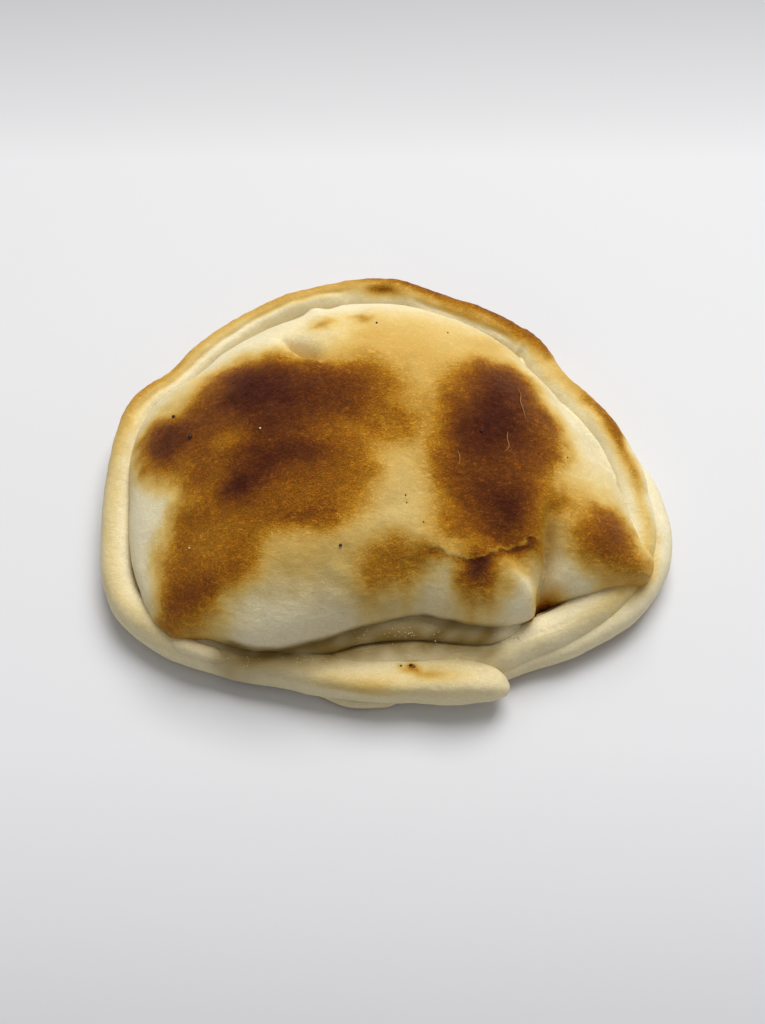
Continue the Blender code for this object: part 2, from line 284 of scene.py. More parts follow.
# %% Sections carried along paths
def roll(place, middle, half_width, half_height, lean, squareness, sides):
    """Ovals along a path in the plan: half the width times a power of the cosine, and half the height
    times the same power of the sine. Each is tilted so that its top leans outward, and outward is the
    path's direction turned by a right angle."""
    direction = np.gradient(place, axis=0)
    outward = np.stack([direction[:, 1], -direction[:, 0]], 1)
    outward /= np.linalg.norm(outward, axis=1)[:, None]
    phi = np.linspace(0, 2 * np.pi, sides, endpoint=False)
    power = np.broadcast_to(squareness, len(place))[:, None]
    wide = half_width[:, None] * np.sign(np.cos(phi)) * np.abs(np.cos(phi)) ** power
    high = half_height[:, None] * np.sign(np.sin(phi)) * np.abs(np.sin(phi)) ** power
    tilt = np.radians(lean)[:, None]
    out = wide * np.cos(tilt) + high * np.sin(tilt)
    up = high * np.cos(tilt) - wide * np.sin(tilt)
    plan = place[:, None] + outward[:, None] * out[:, :, None]
    return np.concatenate([plan, (middle[:, None] + up)[:, :, None]], 2)


def path_length(points):
    """How far each point is along the path."""
    steps = np.linalg.norm(np.diff(points, axis=0), axis=1)
    return np.concatenate([[0], np.cumsum(steps)])


def end_closing(place, first, last):
    """Factor on a roll's section that closes each end with a quarter round over the given length."""
    length = path_length(place)
    ends = np.minimum(np.minimum(length / first, (length[-1] - length) / last), 1)
    return np.sqrt(ends * (2 - ends))


def end_spacing(steps):
    """Shares of a path from 0 to 1, close together at both ends."""
    return (1 - np.cos(np.linspace(0, np.pi, steps))) / 2


def open_roll(points, sections, steps, sides, reach=4.0):
    """A roll on a smooth path through points x, y, z. A section is the share of the path, half the
    width, half the height and the lean in degrees."""
    points = np.array(points, float)
    length = path_length(points)
    share = end_spacing(steps)
    path = np.stack([smooth_curve(share * length[-1], length, points[:, k]) for k in range(3)], 1)
    at, half_width, half_height, lean = np.array(sections, float).T
    close = end_closing(path[:, :2], reach, reach)
    return roll(path[:, :2], path[:, 2], smooth_curve(share, at, half_width) * close,
                smooth_curve(share, at, half_height) * close, smooth_curve(share, at, lean), 0.85, sides)

# %% Border all the way round
# Stations of angle, from the beginning under the tongue, once round, to the tongue's tip. The waves
# are the number round the rim, the rise and the angle of a crest.
BORDER_ANGLES = (-78, 300.6)
BORDER_INSET = [
    (-78, 3), (-60, 2.4), (-48, 3.2), (-35, 3.6), (-15, 4.4), (0, 4), (8, 1.6), (16, 0), (200, 0),
    (238, 0.6), (251, 0.9), (266, 0), (279, -1.2), (290, -3.1), (297, -4.7), (301, -6.2),
]
BORDER_HALF_WIDTH = [
    (-78, 4), (-60, 4.6), (-35, 5.2), (0, 5.2), (60, 4.6), (90, 4.3), (160, 4.4), (200, 4.6), (238, 5),
    (262, 5.2), (275, 5.8), (286, 5.8), (292, 5.2), (297, 4.2), (302, 2.6),
]
BORDER_HALF_HEIGHT = [
    (-78, 4.4), (-65, 5), (-45, 6), (-22, 6.8), (0, 7.4), (48, 8.6), (90, 8.2), (160, 7.4), (200, 6.4),
    (250, 5.6), (266, 5.4), (288, 5.2), (296, 4.4), (302, 3.4),
]
BORDER_MIDDLE = [
    (-78, 5), (-65, 6), (-45, 8.4), (-22, 8.2), (0, 8.4), (48, 9), (90, 8.8), (160, 7.8), (200, 6.8),
    (240, 6.6), (255, 7.2), (270, 7.7), (290, 8), (296, 7.8), (302, 6.8),
]
BORDER_LEAN = [
    (-78, -8), (-60, -10), (-30, -6), (0, 0), (48, 12), (90, 14), (130, 12), (180, 0), (240, -10),
    (302, -12),
]
BORDER_SQUARENESS = [(-78, 0.85), (230, 0.85), (262, 0.62), (292, 0.6), (302, 0.8)]
BORDER_WAVES = [(5, 0.35, 20), (9, 0.3, 50), (14, 0.25, 12)]


def border(steps, sides):
    """The roll from its beginning, all the way round, to the tongue that lies over the beginning.
    Waves of cosines round the rim make it a little uneven."""
    first, last = BORDER_ANGLES
    angle = first + (last - first) * end_spacing(steps)
    waves = sum(rise * np.cos(np.radians(number * (angle - at))) for number, rise, at in BORDER_WAVES)
    half_width = along(angle, BORDER_HALF_WIDTH)
    place, _ = outline_path(angle, along(angle, BORDER_INSET) + half_width)
    close = end_closing(place, 4, 5)
    return roll(place, along(angle, BORDER_MIDDLE) + waves / 2, half_width * close,
                (along(angle, BORDER_HALF_HEIGHT) + waves / 2) * close, along(angle, BORDER_LEAN),
                along(angle, BORDER_SQUARENESS), sides)


print("border's ends overlap over", round(BORDER_ANGLES[1] - BORDER_ANGLES[0] - 360, 1), "degrees")

# %% Lower layer and inner band
# Layers beside the border: angles of both ends, then stations of their share of the way for half the
# width, half the height, the middle's height and the inset, then the lean in degrees
RIM_LAYERS = {
    "foot": (
        (-82, 16), [(0, 3), (0.2, 4.6), (0.8, 5), (1, 3)],
        [(0, 2.6), (0.2, 3.6), (0.5, 5.2), (0.8, 6), (1, 4)],
        [(0, 3.2), (0.2, 4.0), (0.5, 5.6), (0.8, 6.6), (1, 7)],
        [(0, 0), (0.2, 1.2), (0.36, 1.2), (0.55, 0), (1, 0)], 0,
    ),
    "inner_band": (
        (-16, 62), [(0, 2), (0.25, 4), (0.6, 3.4), (1, 2)], [(0, 3), (1, 3)],
        [(0, 10), (0.2, 11), (0.4, 11.6), (0.7, 11.2), (0.85, 10), (1, 7)],
        [(0, 9), (0.25, 6.6), (0.5, 5.4), (0.8, 5), (1, 6)], -30,
    ),
}


def rim_layer(ends, half_width, half_height, middle, inset, lean, steps, sides):
    """A roll that follows the outer edge between two angles."""
    share = end_spacing(steps)
    half_width = along(share, half_width)
    place, _ = outline_path(ends[0] + (ends[1] - ends[0]) * share, half_width + along(share, inset))
    close = end_closing(place, 6, 8)
    return roll(place, along(share, middle), half_width * close, along(share, half_height) * close,
                np.full(steps, lean), 0.8, sides)


print("layers along the rim:", list(RIM_LAYERS))

# %% Scrap, lips and corner fold
# Points x, y, z, then sections: share of the path, half the width, half the height, lean
ROLLS = {
    "scrap": (
        [(-19, -53, 2.2), (-7, -57.2, 2.2), (4, -57.6, 2.2)],
        [(0, 2.4, 2, 0), (0.5, 2.8, 2.2, 0), (1, 1.8, 1.8, 0)],
    ),
    "lower_lip": (
        [(-24, -49, 8.6), (-12, -49, 9.4), (-5, -48.4, 9.8), (12, -47.4, 10), (24, -47.4, 10),
         (35, -46, 9.8)],
        [(0, 2, 1.5, 0), (0.3, 3.6, 2.4, 0), (0.7, 4.2, 2.6, 0), (1, 3, 1.5, 0)],
    ),
    "upper_lip": (
        [(-44, -42.5, 9.8), (-28, -44.6, 11), (-17, -43.6, 12.2), (-5, -40.6, 13), (6, -39.4, 13.2),
         (18, -40.6, 13), (28, -41.4, 12.6), (37, -39.6, 10.8)],
        [(0, 2.5, 1.6, 0), (0.2, 4.2, 2.6, 0), (0.5, 5, 3, 0), (0.8, 5, 3, 0), (1, 2.2, 1.6, 0)],
    ),
    "corner_fold": (
        [(-57, -42.5, 10.6), (-51, -46, 11.4), (-46, -47.6, 11.2), (-39, -49.6, 9.6)],
        [(0, 1.6, 2, 0), (0.3, 2.2, 2.2, 8), (0.7, 2, 2, 8), (1, 1.6, 1.4, 0)],
    ),
}
print("rolls:", list(ROLLS))

# %% Flat base
# Rings from the top's middle to the bottom's middle: inset and height
BASE_RINGS = [(20, 9.5), (9, 9.2), (6.5, 7), (5.2, 3), (5.4, 0.9), (6.4, 0), (20, 0)]


def base(turns):
    """Flat-bottomed slab of dough, from the middle of its top to the middle of its bottom."""
    angle = turn_angles(turns)
    rings = []
    for inset, z in BASE_RINGS:
        place, _ = outline_path(angle, inset)
        rings.append(np.column_stack([place, np.full(turns, z)]))
    top_middle = np.tile([0, 0, BASE_RINGS[0][1]], (turns, 1))
    bottom_middle = np.zeros((turns, 3))
    return np.stack([top_middle, *rings, bottom_middle], 1)


print("base up to", max(z for _, z in BASE_RINGS), "mm high")

# %% [markdown]
# ## Uneven fields
#
# Relief and browning need unevenness that is smooth, repeatable and of a known size. A sum of waves
# of nearly one length, in many random directions, is all three, in a few lines of numpy.

# %% Uneven field
def uneven(points, size, seed, waves=18):
    """Smooth field of about -2 to 2: cosines of lengths near size, in random directions."""
    rng = np.random.default_rng(seed)
    direction = rng.normal(size=(waves, points.shape[1]))
    direction /= np.linalg.norm(direction, axis=1)[:, None]
    number = 2 * np.pi / (size * rng.uniform(0.75, 1.35, waves))
    phase = rng.uniform(0, 2 * np.pi, waves)
    return np.cos(points @ (direction * number[:, None]).T + phase).sum(1) / np.sqrt(waves / 2)


def rim_place(points):
    """Each point's angle in degrees and how far it lies inside the outer edge."""
    x, y = points[:, :2].T
    angle = np.degrees(np.arctan2(y, x)) % 360
    return angle, around(angle, OUTLINE) - np.hypot(x, y)


print("spread of a field:", uneven(np.linspace(0, 400, 3000).reshape(-1, 3), 5, 1).std().round(2))

# %% [markdown]
# ## Where the oven browned it
#
# The dome's high places brown first. The patches are soft ellipses in the plan that melt into each
# other. Each gives a signed distance to its edge; a soft maximum joins them, and one smooth step
# turns distance into browning. Darker hearts are added inside. Bending the plan a little with
# uneven fields before measuring keeps the edges from looking like ellipses.
# Shade in the hole between the lobes and under the tear's lifted edge is painted into the browning as well.

# %% Browned patches of the dome
# Patches: middle x, y, half the length and width, turn in degrees
PATCHES = [
    (-27, 14, 25, 15, 0), (-37, 21, 14, 11, 12), (-58, 6.8, 9.6, 11, 10), (-47, 8, 11, 12, 0),
    (-29, -9, 20.5, 15.5, 0), (-13, -8, 12, 16, -20), (-44.5, -24, 14, 14, 40), (-49.4, -34, 8.6, 9, 0),
    (-53.6, -39.5, 6, 4.4, 60), (-48.5, -4.5, 6.4, 8, 0), (-3, 4, 6, 5, 0), (18.5, -21, 5.5, 5.5, 0),
    (19, 14, 5, 8, 0), (-7, 15, 13, 12.5, -15), (17.5, -5, 6, 12, 0), (6, 8, 7, 8, 0),
    (30.6, 19, 12.6, 12, 0), (30, 5, 19, 17, 0), (28, -12, 15, 15.5, 0), (45, -13, 5.5, 4, 0),
    (57.5, -20, 10, 9, -15), (66.5, -26, 5, 3.5, -20), (23.5, -32.6, 4.4, 6.2, 0), (32, -26, 7.5, 4, 35),
    (1, -32, 7.6, 5.2, 25), (9, -29, 4, 1.8, 0),
]
# Width of a patch's edge: everywhere, and how much more in the strip between the patches, but not at
# its near end. The strip's middle x and its reach.
PATCH_EDGE = (1.6, 1.0)
PATCH_STRIP = (5, 22)
PATCH_MELT = 0.6
PATCH_LEVEL = 0.7
# Darker or lighter places inside the patches: middle x, y, reach in x and y, change of level
HEARTS = [
    (-26, 7, 18, 15, 0.05), (-24, 3, 10, 4, 0.03), (31, 4, 13, 22, 0.06), (20, -4, 6, 12, 0.08),
    (-20, -14, 14, 6, -0.06), (-44, -24, 12, 10, -0.08), (-32, 18, 15, 10, 0.1), (-36, 20, 9, 8, 0.12),
    (-27, 12, 10, 12, 0.05), (-58, 9, 6, 6, 0.18), (-37, -11, 4.5, 4, 0.26), (-32, -4, 6, 6, 0.14),
    (-22, -2, 7, 4, 0.1), (-18, -20, 6, 3, 0.1), (-53, -38, 5, 4, 0.06), (-46, -35, 5, 4, 0.06),
    (-13, 18, 8, 9, 0.08), (1, 9, 4, 5, 0.02), (-42, 4.5, 4, 3, -0.12), (-46, -23, 11, 8, -0.06),
    (-8, -6, 6, 12, -0.06), (9, 9, 4, 8, -0.13), (1, 15, 6, 5, -0.08), (31, 15, 7, 12, 0.16),
    (26, 4, 8, 8, 0.1), (31, -16, 6, 6, 0.2), (28, -25, 7, 3, 0.1), (23.5, -33, 4, 4, 0.24),
    (16, -20, 4, 8, -0.08), (45, -15, 5, 5, -0.1), (60, -23, 5, 4, 0.05), (52, -17, 5, 6, -0.06),
    (68, -26, 4, 4, -0.12), (1, -32, 8, 6, -0.12),
]
# How far the plan is bent before measuring, and the size of each bend
BENDING = [(0.5, 12), (0.25, 5), (0.12, 2.3)]
# Golden zones outside the patches: middle x, y, reach in x and y, level
GLOWS = [
    (8, 38, 24, 12, 0.24), (8, 24, 12, 10, 0.2), (-5, 38, 7, 8, 0.1), (6, -2, 5, 9, 0.09),
    (28, 37, 6, 4, 0.06), (30, 38, 9, 5, 0.1), (-17.5, 43, 3.4, 2.4, 0.3), (-5.5, 45, 2.8, 1.5, 0.28),
    (5, -14, 10, 10, 0.12), (-12, -31, 24, 8, 0.15), (23, -38, 4, 3, 0.16), (56, -2, 12, 10, 0.09),
    (54, -8, 6, 4, 0.12), (-28, -32, 8, 6, 0.1), (-49, 29, 5, 4, 0.12), (-56, 23, 5, 6, 0.1),
    (-10, 30, 5, 3, 0.08), (-50, -44, 14, 3, 0.12), (62, -31, 8, 2, 0.1), (-30, 44, 22, 8, 0.03),
    (-14, -24, 18, 8, 0.08), (10, -20, 30, 14, 0.02),
]
# Painted shade deep in the hole between the two lobes, given as the darkest crust: middle x, y, reach in x
# and y, level
HOLE_SHADE = [(43, -36.6, 4.6, 3.2, 1.1)]


def bells(x, y, spots):
    """Sum of bell-shaped spots: the middle's two coordinates, the reach in both, and the height."""
    return sum(h * np.exp(-(((x - a) / p) ** 2) - ((y - b) / q) ** 2) for a, b, p, q, h in spots)


def bell(value, middle, reach):
    """1 in the middle, falling off on both sides like exp(-u * u), with u the distance in reaches."""
    return np.exp(-(((value - middle) / reach) ** 2))


def patch_cover(x, y):
    """How far each place is inside the browned patches, 0 to 1: a logistic step over the soft maximum
    of the ellipses' signed distances."""
    total = 0
    for at_x, at_y, long, short, turn in PATCHES:
        c, s = np.cos(np.radians(turn)), np.sin(np.radians(turn))
        u = ((x - at_x) * c + (y - at_y) * s) / long
        v = ((y - at_y) * c - (x - at_x) * s) / short
        total = total + np.exp(PATCH_MELT * np.clip((1 - np.hypot(u, v)) * min(long, short), -40, 40))
    edge = PATCH_EDGE[0] + PATCH_EDGE[1] * bell(x, *PATCH_STRIP) * ease(y, -24, -14)
    return 1 / (1 + np.exp(-np.log(total) / PATCH_MELT / edge))


# The ragged line where the crust tore
TEAR = [
    (9.4, -27.9), (10.6, -27.7), (13.2, -28.2), (15.7, -29.4), (19.5, -30.4), (23.3, -30.7),
    (27.2, -28.8), (31.2, -26.3), (35.2, -24.5), (39.3, -22.7),
]
# Middle and reach of the tear's pale rim, and of the painted shadow beyond it under the lifted crust, and
# what they change
TEAR_RIM = (-0.1, 0.32)
TEAR_SHADOW = (0.9, 0.8)
TEAR_PALER = 0.45
TEAR_SHADOW_DARKENING = 0.14


def tear_place(points):
    """Distance from the ragged tear, above zero on its near side, and how much of it there is."""
    plan = points[:, :2]
    ragged = 0.34 * uneven(plan, 3.4, 41) + 0.1 * uneven(plan, 1.3, 42)
    distance, share = near_line(plan[:, 0], plan[:, 1] + ragged, TEAR)
    return distance, ease(share, 0, 0.08) * ease(1 - share, 0, 0.1)


def dome_browning(points):
    """Browning of the dome, 0 for raw dough to 1 for burnt, plus painted shade in the hole between the
    lobes and a painted shadow under the tear's lifted edge.
    """
    plan = points[:, :2]
    x = plan[:, 0] + sum(far * uneven(plan, size, 1 + k) for k, (far, size) in enumerate(BENDING))
    y = plan[:, 1] + sum(far * uneven(plan, size, 4 + k) for k, (far, size) in enumerate(BENDING))
    cover = patch_cover(x, y)
    glow = np.clip(bells(x, y, GLOWS), 0, 0.42)
    level = glow + (PATCH_LEVEL - glow) * cover + bells(x, y, HEARTS) * cover
    distance, amount = tear_place(points)
    rim = amount * bell(distance, *TEAR_RIM)
    # painted shadow on the dough just beyond the tear, under its lifted edge
    under = amount * bell(distance, *TEAR_SHADOW)
    # painted shade in the hole between the lobes, on the dome's lower parts
    burnt_and_hole_shade = bells(points[:, 0], points[:, 1], HOLE_SHADE) * ease(-points[:, 2], -30, -22)
    return np.clip(level * (1 - TEAR_PALER * rim) + TEAR_SHADOW_DARKENING * under, 0.02, 1) + burnt_and_hole_shade


print(len(PATCHES), "patches,", len(HEARTS), "places in them,", len(GLOWS), "golden zones")

# %% [markdown]
# ## The border's own browning
#
# The roll browns along its crest, most of all on the far side. Its browning goes by angle, like its
# shape, and fades from the crest to both sides. The near side stayed almost white, because the dome
# shaded it.

# %% Browning of the border
CREST_BROWNING = [
    (0, 0.28), (6, 0.44), (14, 0.6), (22, 0.58), (30, 0.36), (38, 0.28), (44, 0.54), (50, 0.72),
    (58, 0.64), (72, 0.58), (84, 0.5), (92, 0.4), (102, 0.36), (115, 0.36), (128, 0.32), (142, 0.3),
    (152, 0.38), (160, 0.36), (168, 0.24), (178, 0.14), (190, 0.11), (210, 0.08), (230, 0.03),
    (262, 0.02), (285, 0.05), (296, 0.04), (315, 0.04), (333, 0.16), (340, 0.24), (348, 0.2), (354, 0.22),
]
CREST_INSET = [
    (0, 8.5), (10, 5), (20, 2.4), (44, 1.6), (60, 1.4), (90, 1.2), (140, 1.4), (180, 3), (270, 5),
    (330, 7), (345, 7.5),
]
CREST_REACH = [(0, 2.2), (16, 3), (48, 4.8), (60, 4.2), (90, 4.2), (140, 3.2), (180, 3.4), (330, 3.5)]
# Pale or dark places on the border: angle, inset, reach in degrees and in mm, change of level
BORDER_SPOTS = [
    (90.6, 5.2, 4.2, 1.6, 0.42), (48, 9, 1.6, 3, -0.3), (52.3, 0.5, 0.7, 0.8, 0.4),
    (70, 7.6, 18, 1.1, -0.5), (120, 6.6, 22, 1.8, -0.12), (153, 1.5, 6, 2.5, 0.06), (86, 1.2, 9, 2, 0.1),
    (62, 5.6, 10, 1.2, 0.14), (340, 5.5, 4, 3, 0.2),
]
# Spots on the tongue: middle x, y, reach in x and y, level
TONGUE_SPOTS = [
    (7.2, -51.7, 1.1, 0.8, 0.75), (4.0, -51.9, 0.7, 0.5, 0.6), (5.8, -52.2, 1.6, 0.9, 0.35),
    (8.6, -52.8, 1.2, 1.2, 0.28), (11.4, -54.2, 3.4, 1.2, 0.22), (16, -55, 6, 1.4, 0.1),
    (-4, -57.5, 7, 2.5, 0.14), (-14, -56, 6, 3, 0.08), (10, -55, 20, 6, 0.05),
]


def border_browning(points):
    """Browning of the border: the crest's level at each angle, fading over a reach to both sides, plus
    painted shade in the hole between the lobes.
    """
    angle, inset = rim_place(points)
    streaks = 0.5 * uneven(points, 12, 11) + 0.4 * uneven(points, 5, 12)
    fade = bell(inset + 0.5 * streaks, around(angle, CREST_INSET), around(angle, CREST_REACH))
    level = around(angle + 1.5 * streaks, CREST_BROWNING) * (1 + 0.07 * streaks)
    level *= 1 + 0.25 * bell(inset, 0.2 * streaks, 1.2)
    x, y, z = points.T
    near_side = 0.02 * ease(-y, 20, 50) + ease(z, 9, 11) * bells(x + 0.3 * streaks, y, TONGUE_SPOTS)
    # painted shade in the hole between the lobes, on the border's lower parts
    burnt_and_hole_shade = bells(x, y, HOLE_SHADE) * ease(-z, -12, -9)
    level = level * fade * ease(z, 2, 10) + bells(angle, inset, BORDER_SPOTS)
    return np.clip(level, 0.02, 1) + near_side + burnt_and_hole_shade


print("browning of the far crest:", border_browning(np.array([(0.0, 67, 14)])).round(2))

# %% [markdown]
# ## Wet dough in the valley
#
# Steam kept the valley between the dome and the near border moist. Dough that never dried is darker
# and glossier than the crust, so it has a field of its own.
# The same field also carries painted shade on the dome's steep near face.

# %% Wet and soaked places
VALLEY = [
    (-48, -44.8), (-38, -46.6), (-22, -47), (-12, -45), (0, -43.2), (14, -42.8), (25, -43.6), (33, -41.8),
]
# The first place is dulled dough; the last two, on the dome's steep near face, are painted shade.
# Dough over the filling, dulled from below, and painted shade on the near face: middle x, y, reach in x and
# y, amount
SOAKED_AND_SHADE = [(2, -12, 12, 14, 0.26), (-18, -30, 22, 9, 0.38), (-20, -39, 22, 5, 0.3)]


def wetness_and_shade(points, browning_and_shade):
    """0 on dry crust to 1 on the moist layers round the valley's line, plus the soaked places and the
    painted shade on the dome's near face.
    """
    x, y, z = points.T
    distance, share = near_line(x, y, VALLEY)
    across = np.exp(-((distance / 7) ** 4))
    valley = across * ease(share, 0.0, 0.12) * ease(1 - share, 0.0, 0.08) * ease(-z, -19, -15)
    valley *= 0.92 + 0.08 * uneven(points, 5, 51)
    # soaked dough, and painted shade on the dome's near face
    soaked_and_shade = bells(x, y, SOAKED_AND_SHADE) * ease(z, 16, 24) * ease(-browning_and_shade, -0.5, -0.15)
    soaked_and_shade *= 1 + 0.15 * uneven(points, 6, 52)
    near_side = 0.04 * ease(-y, 44, 50)
    return np.clip(near_side + valley + soaked_and_shade, 0, 1)


print("wetness in the valley:", wetness_and_shade(np.array([(0.0, -44, 12)]), np.zeros(1)).round(2))

# %% [markdown]
# ## Relief
#
# Crust is never smooth: long soft dents from the hand, blisters a few millimetres wide where it
# browned, and fine wrinkles. The relief moves each point along its surface's normal. One line of
# the crust has torn and lifted, so there it is a small step with a ragged edge. The underside stays
# flat, because it lay on the tray.

# %% Relief of the surfaces
# Lines pressed into the border: stations of angle and inset, then depth and width
GROOVES = [
    ([(98, 4.2), (112, 3.9), (130, 4.8), (150, 5), (166, 5.2)], 0.8, 0.8),
    ([(50, 6.4), (60, 6.6), (75, 6.2), (84, 5.8)], 0.6, 0.6),
    ([(302, 7.4), (314, 8.2), (324, 7.8)], 0.22, 0.4),
]
# Dents and lumps of the border: angle, inset, reach in degrees and in mm, height
BORDER_DENTS = [
    (90.6, 5.4, 3.6, 1.5, -1.6), (48.8, 8, 0.9, 4, 0.8), (46.6, 7, 1.6, 3.5, -0.5),
    (52.3, 0, 0.8, 1, -0.6), (112, 4.4, 4, 2, 0.6), (100, 5, 3, 2, -0.5), (156, 1, 3, 2, 0.5),
    (284, 10, 1.4, 1.6, 0.5), (288, 9, 1, 1.3, -0.5), (291, 8, 1, 1.2, 0.5), (278, 11, 2, 1.6, -0.4),
    (274, 10.5, 1.6, 1.6, 0.4),
]
TEAR_STEP = 0.4
TEAR_STEP_REACH = 4.5


def relief(points, browning_and_shade):
    """Height of the relief along the normal, in mm: uneven fields of four sizes, of which the three
    finer ones are higher on browner crust."""
    stretched = points * (0.6, 1.15, 1.15)
    height = 0.14 * uneven(points, 17, 21) + (0.03 + 0.05 * browning_and_shade) * uneven(points, 6, 22)
    height += (0.016 + 0.035 * browning_and_shade) * uneven(points, 2.5, 23, 40)
    height += (0.01 + 0.022 * browning_and_shade) * uneven(stretched, 1.7, 24, 40)
    return height * ease(points[:, 2], 0.3, 2.5)


def dome_relief(points, browning_and_shade):
    """The relief of the dome, with a step along the tear that falls away behind it."""
    distance, amount = tear_place(points)
    step = bell(np.minimum(distance, 0), 0, TEAR_STEP_REACH) * ease(-distance, -0.15, 0.25)
    return relief(points, browning_and_shade) + TEAR_STEP * amount * step


def border_relief(points, browning_and_shade):
    """The relief of the border, with its pressed lines and dents."""
    angle, inset = rim_place(points)
    height = relief(points, browning_and_shade)
    upper = ease(points[:, 2], 5, 9)
    for stations, depth, width in GROOVES:
        at, place = np.array(stations, float).T
        ends = ease(angle, at[0], at[0] + 6) * ease(-angle, -at[-1], 6 - at[-1])
        line = smooth_curve(angle, at, place) + 0.15 * uneven(points, 9, 25)
        height -= depth * ends * bell(inset, line, width) * upper
    return height + bells(angle, inset, BORDER_DENTS) * upper


print(len(GROOVES), "pressed lines,", len(BORDER_DENTS), "dents and lumps on the border")

# %% [markdown]
# ## Surfaces into pieces
#
# Each layer is a grid of points and a piece of its own, so that layers meet as sharply as in folded
# dough. A piece takes four steps: measure the browning, lay the relief along the normals, fit the
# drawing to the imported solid's box, and write the mesh.

# %% Meshes from grids
# The box of the drawing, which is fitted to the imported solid's box
DRAWN_LOW = np.array((-78.2, -62.4, 0.0))
DRAWN_HIGH = np.array((79.2, 69.4, 39.8))
UNDERSIDE_BROWNING = 0.42
FIT = (NODE_HIGH - NODE_LOW) / (DRAWN_HIGH - DRAWN_LOW)


def to_frame(points):
    """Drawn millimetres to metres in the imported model's frame."""
    return NODE_LOW + (points - DRAWN_LOW) * FIT


def enclosed(points, quads):
    """Volume that the quads enclose, above zero where they face outward."""
    a, b, c, d = (points[quads[:, k]] for k in range(4))
    return (np.sum(a * np.cross(b, c)) + np.sum(a * np.cross(c, d))) / 6


def grid_quads(grid, closes_round, closes_across):
    """Corner numbers of a grid's quads, facing outward. It may close along its rows and columns."""
    index = np.arange(grid[..., 0].size).reshape(grid.shape[:2])
    if closes_round:
        index = np.concatenate([index, index[:1]], 0)
    if closes_across:
        index = np.concatenate([index, index[:, :1]], 1)
    corners = [index[:-1, :-1], index[:-1, 1:], index[1:, 1:], index[1:, :-1]]
    quads = np.stack(corners, 2).reshape(-1, 4)
    return quads if enclosed(grid.reshape(-1, 3), quads) > 0 else quads[:, ::-1]


def differences(grid, axis, closes):
    """Difference between each point's two neighbours along an axis of the grid."""
    if closes:
        return np.roll(grid, -1, axis) - np.roll(grid, 1, axis)
    return np.gradient(grid, axis=axis)


def grid_normals(grid, closes_round, closes_across):
    """Unit normals that point outward: cross product of the differences along both axes. Where a
    whole row or column is one point, it takes its neighbours' mean normal."""
    normals = np.cross(differences(grid, 1, closes_across), differences(grid, 0, closes_round))
    normals /= np.maximum(np.linalg.norm(normals, axis=2, keepdims=True), 1e-12)
    if not closes_across:
        normals[:, 0], normals[:, -1] = normals[:, 1].mean(0), normals[:, -2].mean(0)
    if not closes_round:
        normals[0], normals[-1] = normals[1].mean(0), normals[-2].mean(0)
    outward = np.sum(normals * (grid - grid.mean((0, 1)))) > 0
    return normals if outward else -normals


def add_field(mesh, name, values):
    """A number for each vertex, which materials read by its name."""
    field = mesh.attributes.new(name, "FLOAT", "POINT")
    field.data.foreach_set("value", values.astype(np.float32))


def mesh_points(piece):
    """The vertices of a piece, back in drawn millimetres."""
    places = np.empty(3 * len(piece.data.vertices))
    piece.data.vertices.foreach_get("co", places)
    return (places.reshape(-1, 3) - NODE_LOW) / FIT + DRAWN_LOW


def mesh_object(name, points, faces):
    """Mesh object at the origin from an array of points and one of corner numbers."""
    mesh = bpy.data.meshes.new(name)
    mesh.from_pydata(points.tolist(), [], faces.tolist())
    obj = bpy.data.objects.new(name, mesh)
    bpy.context.scene.collection.objects.link(obj)
    return obj


def weld(mesh):
    """Joins the vertices that lie on one place, as at a pole, and shades the mesh smooth."""
    work = bmesh.new()
    work.from_mesh(mesh)
    bmesh.ops.remove_doubles(work, verts=work.verts, dist=1e-6)
    work.to_mesh(mesh)
    work.free()
    mesh.polygons.foreach_set("use_smooth", np.ones(len(mesh.polygons), bool))


def dough_piece(name, grid, closes, browning_of, relief_of, bend=None):
    """One layer of dough as a piece on the root, with its relief and its fields. The bend, if there
    is one, moves the finished points."""
    flat = grid.reshape(-1, 3)
    browning_and_shade = browning_of(flat)
    moved = flat + grid_normals(grid, *closes).reshape(-1, 3) * relief_of(flat, browning_and_shade)[:, None]
    moved[:, 2] = np.maximum(moved[:, 2], 0)
    if bend:
        moved = bend(moved)
    piece = mesh_object(name, to_frame(moved), grid_quads(grid, *closes))
    under = UNDERSIDE_BROWNING + 0.08 * uneven(flat, 14, 31) + 0.06 * uneven(flat, 5, 32)
    add_field(piece.data, "browning_and_shade", browning_and_shade + (under - browning_and_shade) * ease(-flat[:, 2], -2.4, -0.8))
    add_field(piece.data, "wetness_and_shade", wetness_and_shade(flat, browning_and_shade))
    weld(piece.data)
    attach(piece, "root")
    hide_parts("empanada")
    return piece

# %% The layers
layers = {
    "dome": (dome(600, 150, 16), (True, False), dome_browning, dome_relief, overhung),
    "border": (border(1600, 60), (False, True), border_browning, border_relief),
    "base": (base(300), (True, False), border_browning, relief),
    "foot": (rim_layer(*RIM_LAYERS["foot"], 360, 48), (False, True), border_browning, relief),
    "inner_band": (rim_layer(*RIM_LAYERS["inner_band"], 300, 40), (False, True), border_browning, relief),
}
for part in ("scrap", "lower_lip", "upper_lip", "corner_fold"):
    layers[part] = (open_roll(*ROLLS[part], 220, 44), (False, True), border_browning, relief)
dough = [dough_piece(name, *layer) for name, layer in layers.items()]
print({piece.name: len(piece.data.polygons) for piece in dough})

# %% [markdown]
# ## The baked dough material
#
# One material has to go from raw to burnt. Its heart is a colour ramp: cream, gold, amber, brown,
# umber, as crust does when sugar and protein brown. The browning field picks the place on the
# ramp, and broad and mottled noise stir it first, so that the colour breaks up. Grain and thin
# curly lines only make the ramp's colour lighter or darker, because a real crust is as warm in its
# pale streaks as in its dark ones. The same noises drive a shallow bump.

